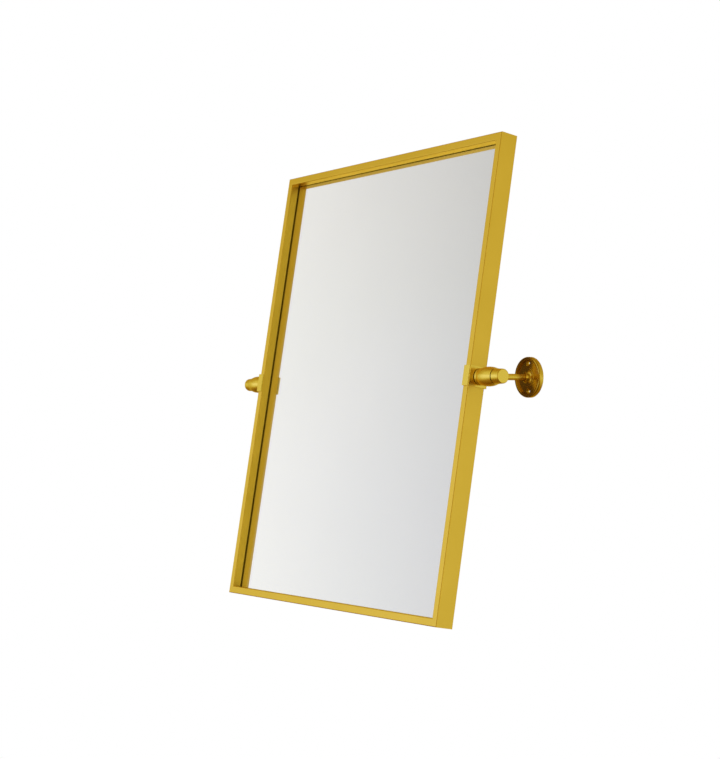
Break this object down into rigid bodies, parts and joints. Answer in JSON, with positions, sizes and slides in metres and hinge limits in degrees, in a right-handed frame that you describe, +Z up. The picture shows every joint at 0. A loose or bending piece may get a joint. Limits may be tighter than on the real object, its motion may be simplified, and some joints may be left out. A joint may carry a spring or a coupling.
{
  "type": "pivot wall mirror",
  "caption": "Rectangular framed mirror that tilts between two wall brackets, each a round post on a screw-on rosette.",
  "frame": {"origin": "on the wall plane, midway between the centres of the two rosettes", "axes": "+X along the wall to the right as seen from the room, +Y into the wall, +Z up; the mirror is on the -Y side"},
  "size_m": [0.6094, 0.1272, 0.6054],
  "materials": {
    "frame_gold": "satin gold anodised",
    "satin_brass": "satin gold",
    "rosette_brass": "polished gold",
    "mirror": "silvered float glass",
    "board": "raw hardboard",
    "zinc_steel": "zinc plated",
    "spring_steel": "blued spring steel",
    "black_nylon": "matte",
    "white_nylon": "matte",
    "rubber": "soft matte"
  },
  "bodies": {
    "wall_brackets": {"rosette_left": "rosette_brass", "rosette_right": "rosette_brass", "post_left": "satin_brass", "post_right": "satin_brass", "post_screws": "zinc_steel", "barrel_left": "satin_brass", "barrel_right": "satin_brass", "bush_left": "black_nylon", "bush_right": "black_nylon", "end_cap_left": "satin_brass", "end_cap_right": "satin_brass"},
    "mirror_panel": {"frame_top": "frame_gold", "frame_bottom": "frame_gold", "frame_left": "frame_gold", "frame_right": "frame_gold", "mirror_glass": "mirror", "backing_board": "board", "spring_clips": "spring_steel", "corner_plate_top_left": "zinc_steel", "corner_plate_top_right": "zinc_steel", "corner_plate_bottom_left": "zinc_steel", "corner_plate_bottom_right": "zinc_steel", "corner_screws": "zinc_steel", "wall_bumpers": "rubber", "clip_left": "satin_brass", "clip_right": "satin_brass", "clip_screws": "satin_brass", "nut_plate_left": "zinc_steel", "nut_plate_right": "zinc_steel", "pivot_pin_left": "satin_brass", "pivot_pin_right": "satin_brass", "thrust_washers": "white_nylon", "disc_springs": "spring_steel", "flat_washers": "zinc_steel", "lock_nuts": "zinc_steel"}
  },
  "joints": [
    {"name": "mirror_tilt", "type": "hinge", "parent": "wall_brackets", "child": "mirror_panel", "pos_m": [0, -0.0647, 0], "axis": [1, 0, 0], "range_deg": [0, 19]}
  ]
}
